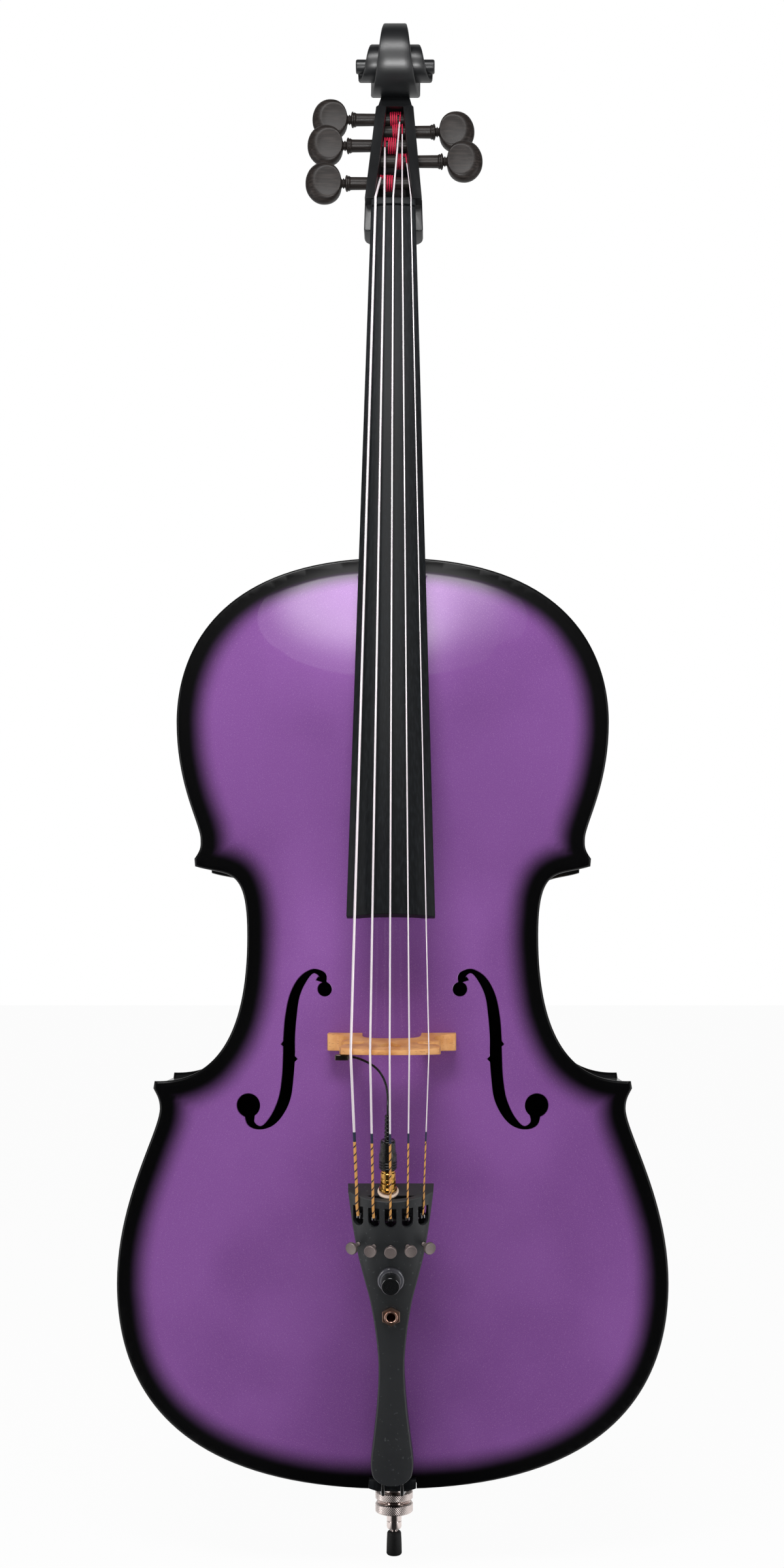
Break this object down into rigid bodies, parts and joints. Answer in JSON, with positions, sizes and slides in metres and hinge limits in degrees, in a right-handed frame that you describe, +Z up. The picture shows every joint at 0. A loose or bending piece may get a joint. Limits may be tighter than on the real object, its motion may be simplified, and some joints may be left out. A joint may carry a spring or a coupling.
{
  "type": "electric cello",
  "caption": "Hollow-bodied electric cello with arched top, f-holes, scroll, turning pegs, bridge pickup, tailpiece with fine tuners, volume knob and jacks, and a sliding endpin.",
  "frame": {"origin": "centre of the flat foot of the endpin's rubber tip, with the endpin pushed in", "axes": "+Z up along the body to the scroll, -Y towards the strings and the player's bow, +X to the viewer's right, which is the thin-string side; y = 0 is the middle of the rib height"},
  "size_m": [0.4474, 0.2716, 1.3122],
  "materials": {
    "lacquer_purple": "gloss metallic purple lacquer with a black burst round the edge",
    "lacquer_black": "gloss black lacquer",
    "satin_black": "satin black lacquer",
    "ebony": "dark close-grained wood, oiled",
    "spruce": "bare pale softwood",
    "maple": "bare warm maple with flecks",
    "red_silk": "red thread wrapping",
    "string_metal": "fine flat-wound metal",
    "pickup_metal": "dark satin metal",
    "black_rubber": "matt black rubber",
    "gold": "polished gold plating",
    "plain_steel": "plain plated steel",
    "dark_nickel": "brushed dark nickel plating",
    "black_gloss_plastic": "gloss black",
    "satin_composite": "satin black composite",
    "black_cord": "black synthetic cord",
    "polished_nickel": "polished nickel plating"
  },
  "bodies": {
    "body": {"top_plate": "lacquer_purple", "back_plate": "lacquer_black", "rib_lower_right": "lacquer_black", "rib_lower_left": "lacquer_black", "rib_waist_right": "lacquer_black", "rib_waist_left": "lacquer_black", "rib_upper_right": "lacquer_black", "rib_upper_left": "lacquer_black", "top_block": "spruce", "bottom_block": "spruce", "corner_block_lower_right": "spruce", "corner_block_lower_left": "spruce", "corner_block_upper_right": "spruce", "corner_block_upper_left": "spruce", "bass_bar": "spruce", "sound_post": "spruce", "saddle": "ebony", "neck": "satin_black", "fingerboard": "ebony", "nut": "ebony", "bridge": "maple", "pickup": "pickup_metal", "pickup_lead": "black_rubber", "plug_shell": "gold", "plug_body": "black_rubber", "input_jack": "gold", "output_jack": "gold", "volume_pot": "plain_steel", "tailpiece": "satin_composite", "tail_gut": "black_cord", "string_1": "string_metal", "string_2": "string_metal", "string_3": "string_metal", "string_4": "string_metal", "string_5": "string_metal", "endpin_socket": "polished_nickel"},
    "peg_1": {"peg_1": "ebony", "peg_1_winding": "red_silk"},
    "peg_2": {"peg_2": "ebony", "peg_2_winding": "red_silk"},
    "peg_3": {"peg_3": "ebony", "peg_3_winding": "red_silk"},
    "peg_4": {"peg_4": "ebony", "peg_4_winding": "red_silk"},
    "peg_5": {"peg_5": "ebony", "peg_5_winding": "red_silk"},
    "tuner_screw_1": {"tuner_screw_1": "dark_nickel"},
    "tuner_lever_1": {"tuner_lever_1": "plain_steel"},
    "tuner_screw_2": {"tuner_screw_2": "dark_nickel"},
    "tuner_lever_2": {"tuner_lever_2": "plain_steel"},
    "tuner_screw_3": {"tuner_screw_3": "dark_nickel"},
    "tuner_lever_3": {"tuner_lever_3": "plain_steel"},
    "tuner_screw_4": {"tuner_screw_4": "dark_nickel"},
    "tuner_lever_4": {"tuner_lever_4": "plain_steel"},
    "tuner_screw_5": {"tuner_screw_5": "dark_nickel"},
    "tuner_lever_5": {"tuner_lever_5": "plain_steel"},
    "volume_knob": {"volume_knob": "black_gloss_plastic"},
    "endpin": {"endpin_rod": "polished_nickel", "endpin_tip": "black_rubber"},
    "endpin_clamp": {"endpin_clamp": "polished_nickel"}
  },
  "joints": [
    {"name": "peg_1_turn", "type": "hinge", "parent": "body", "child": "peg_1", "pos_m": [0, -0.0037, 1.15343], "axis": [1, 0, 0], "continuous": true},
    {"name": "peg_2_turn", "type": "hinge", "parent": "body", "child": "peg_2", "pos_m": [0, 0.02306, 1.19626], "axis": [1, 0, 0], "continuous": true},
    {"name": "peg_3_turn", "type": "hinge", "parent": "body", "child": "peg_3", "pos_m": [0, 0.04207, 1.22668], "axis": [1, 0, 0], "continuous": true},
    {"name": "peg_4_turn", "type": "hinge", "parent": "body", "child": "peg_4", "pos_m": [0, 0.03308, 1.2123], "axis": [1, 0, 0], "continuous": true},
    {"name": "peg_5_turn", "type": "hinge", "parent": "body", "child": "peg_5", "pos_m": [0, 0.01175, 1.17816], "axis": [1, 0, 0], "continuous": true},
    {"name": "tuner_screw_1_drive", "type": "slide", "parent": "body", "child": "tuner_screw_1", "axis": [0.4848, 0.8448, 0.2264], "range_m": [0, 0.004]},
    {"name": "tuner_lever_1_tilt", "type": "hinge", "parent": "body", "child": "tuner_lever_1", "pos_m": [-0.02085, -0.13087, 0.30111], "axis": [0.8746, -0.4683, -0.1255], "range_deg": [0, 12.5]},
    {"name": "tuner_screw_2_drive", "type": "slide", "parent": "body", "child": "tuner_screw_2", "axis": [0.2504, 0.9352, 0.2506], "range_m": [0, 0.004]},
    {"name": "tuner_lever_2_tilt", "type": "hinge", "parent": "body", "child": "tuner_lever_2", "pos_m": [-0.01077, -0.13475, 0.30007], "axis": [0.9681, -0.2418, -0.0648], "range_deg": [0, 12.5]},
    {"name": "tuner_screw_3_drive", "type": "slide", "parent": "body", "child": "tuner_screw_3", "axis": [0, 0.9659, 0.2588], "range_m": [0, 0.004]},
    {"name": "tuner_lever_3_tilt", "type": "hinge", "parent": "body", "child": "tuner_lever_3", "pos_m": [0, -0.13608, 0.29972], "axis": [1, 0, 0], "range_deg": [0, 12.5]},
    {"name": "tuner_screw_4_drive", "type": "slide", "parent": "body", "child": "tuner_screw_4", "axis": [-0.2504, 0.9352, 0.2506], "range_m": [0, 0.004]},
    {"name": "tuner_lever_4_tilt", "type": "hinge", "parent": "body", "child": "tuner_lever_4", "pos_m": [0.01077, -0.13475, 0.30007], "axis": [0.9681, 0.2418, 0.0648], "range_deg": [0, 12.5]},
    {"name": "tuner_screw_5_drive", "type": "slide", "parent": "body", "child": "tuner_screw_5", "axis": [-0.4848, 0.8448, 0.2264], "range_m": [0, 0.004]},
    {"name": "tuner_lever_5_tilt", "type": "hinge", "parent": "body", "child": "tuner_lever_5", "pos_m": [0.02085, -0.13087, 0.30111], "axis": [0.8746, 0.4683, 0.1255], "range_deg": [0, 12.5]},
    {"name": "volume_knob_turn", "type": "hinge", "parent": "body", "child": "volume_knob", "pos_m": [0, -0.13506, 0.2534], "axis": [0, -0.9659, -0.2588], "range_deg": [0, 300]},
    {"name": "endpin_slide", "type": "slide", "parent": "body", "child": "endpin", "axis": [0, 0, -1], "range_m": [0, 0.33]},
    {"name": "endpin_clamp_turn", "type": "hinge", "parent": "body", "child": "endpin_clamp", "pos_m": [0, 0, 0.0407], "axis": [0, 0, 1], "range_deg": [0, 180]}
  ],
  "couplings": [
    {"joint": "tuner_lever_1_tilt", "follows": "tuner_screw_1_drive", "rad_per_m": 54},
    {"joint": "tuner_lever_2_tilt", "follows": "tuner_screw_2_drive", "rad_per_m": 54},
    {"joint": "tuner_lever_3_tilt", "follows": "tuner_screw_3_drive", "rad_per_m": 54},
    {"joint": "tuner_lever_4_tilt", "follows": "tuner_screw_4_drive", "rad_per_m": 54},
    {"joint": "tuner_lever_5_tilt", "follows": "tuner_screw_5_drive", "rad_per_m": 54}
  ]
}
